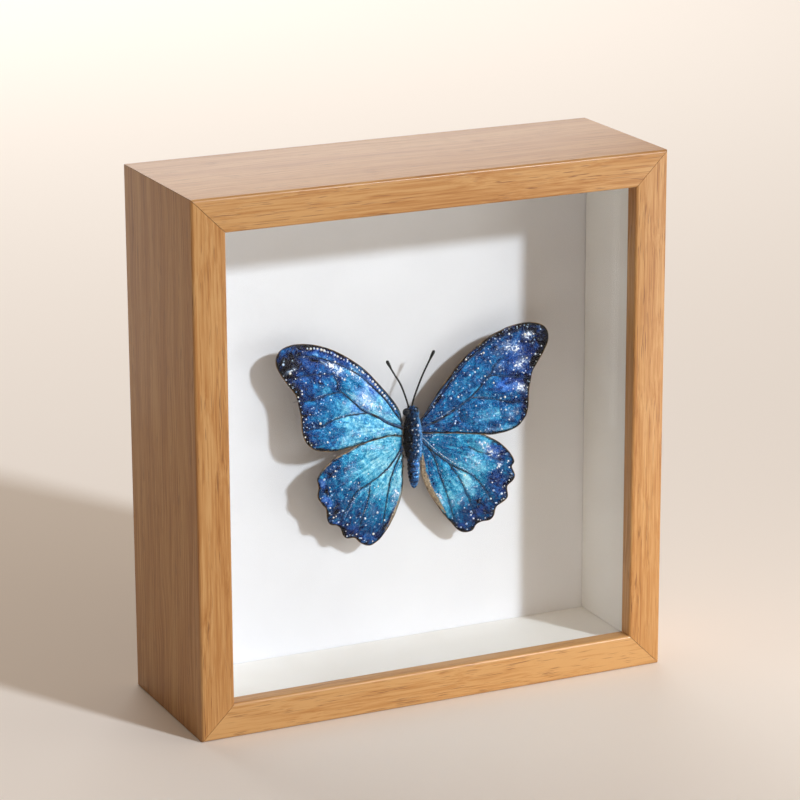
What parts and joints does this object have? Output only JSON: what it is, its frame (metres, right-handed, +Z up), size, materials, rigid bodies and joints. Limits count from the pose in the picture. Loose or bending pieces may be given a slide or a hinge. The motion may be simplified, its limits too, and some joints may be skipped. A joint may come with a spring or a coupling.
{
  "type": "framed butterfly specimen",
  "caption": "Blue butterfly with spread scalloped wings, pinned on a white board in a deep wooden shadow box with a glass front.",
  "frame": {"origin": "middle of the case's underside, on the surface that it stands on", "axes": "+Z up, -Y towards the viewer and out of the glass, +X to the right as seen from the front"},
  "size_m": [0.211, 0.074, 0.225],
  "materials": {
    "wood": "satin oak veneer, grain along each rail",
    "glass": "clear float glass",
    "board": "matte white faced board",
    "liner": "matte white faced strip",
    "back": "brown hardboard",
    "steel": "stamped steel",
    "pin": "dark steel",
    "forewing": "iridescent blue scales, glittering, with dark margins",
    "hindwing": "iridescent pale blue scales, glittering, with dark margins",
    "body": "dark blue hair with a metallic glint",
    "antenna": "black"
  },
  "bodies": {
    "root": {"rail_top": "wood", "rail_bottom": "wood", "rail_left": "wood", "rail_right": "wood", "glass_pane": "glass", "liner_top": "liner", "liner_bottom": "liner", "liner_left": "liner", "liner_right": "liner", "backing_board": "board", "back_panel": "back", "framers_point_top_1": "steel", "framers_point_top_2": "steel", "framers_point_bottom_1": "steel", "framers_point_bottom_2": "steel", "framers_point_left_1": "steel", "framers_point_left_2": "steel", "framers_point_right_1": "steel", "framers_point_right_2": "steel", "butterfly_body": "body", "forewing_left": "forewing", "forewing_right": "forewing", "hindwing_left": "hindwing", "hindwing_right": "hindwing", "antenna_left": "antenna", "antenna_right": "antenna", "mounting_pin": "pin"}
  },
  "joints": []
}
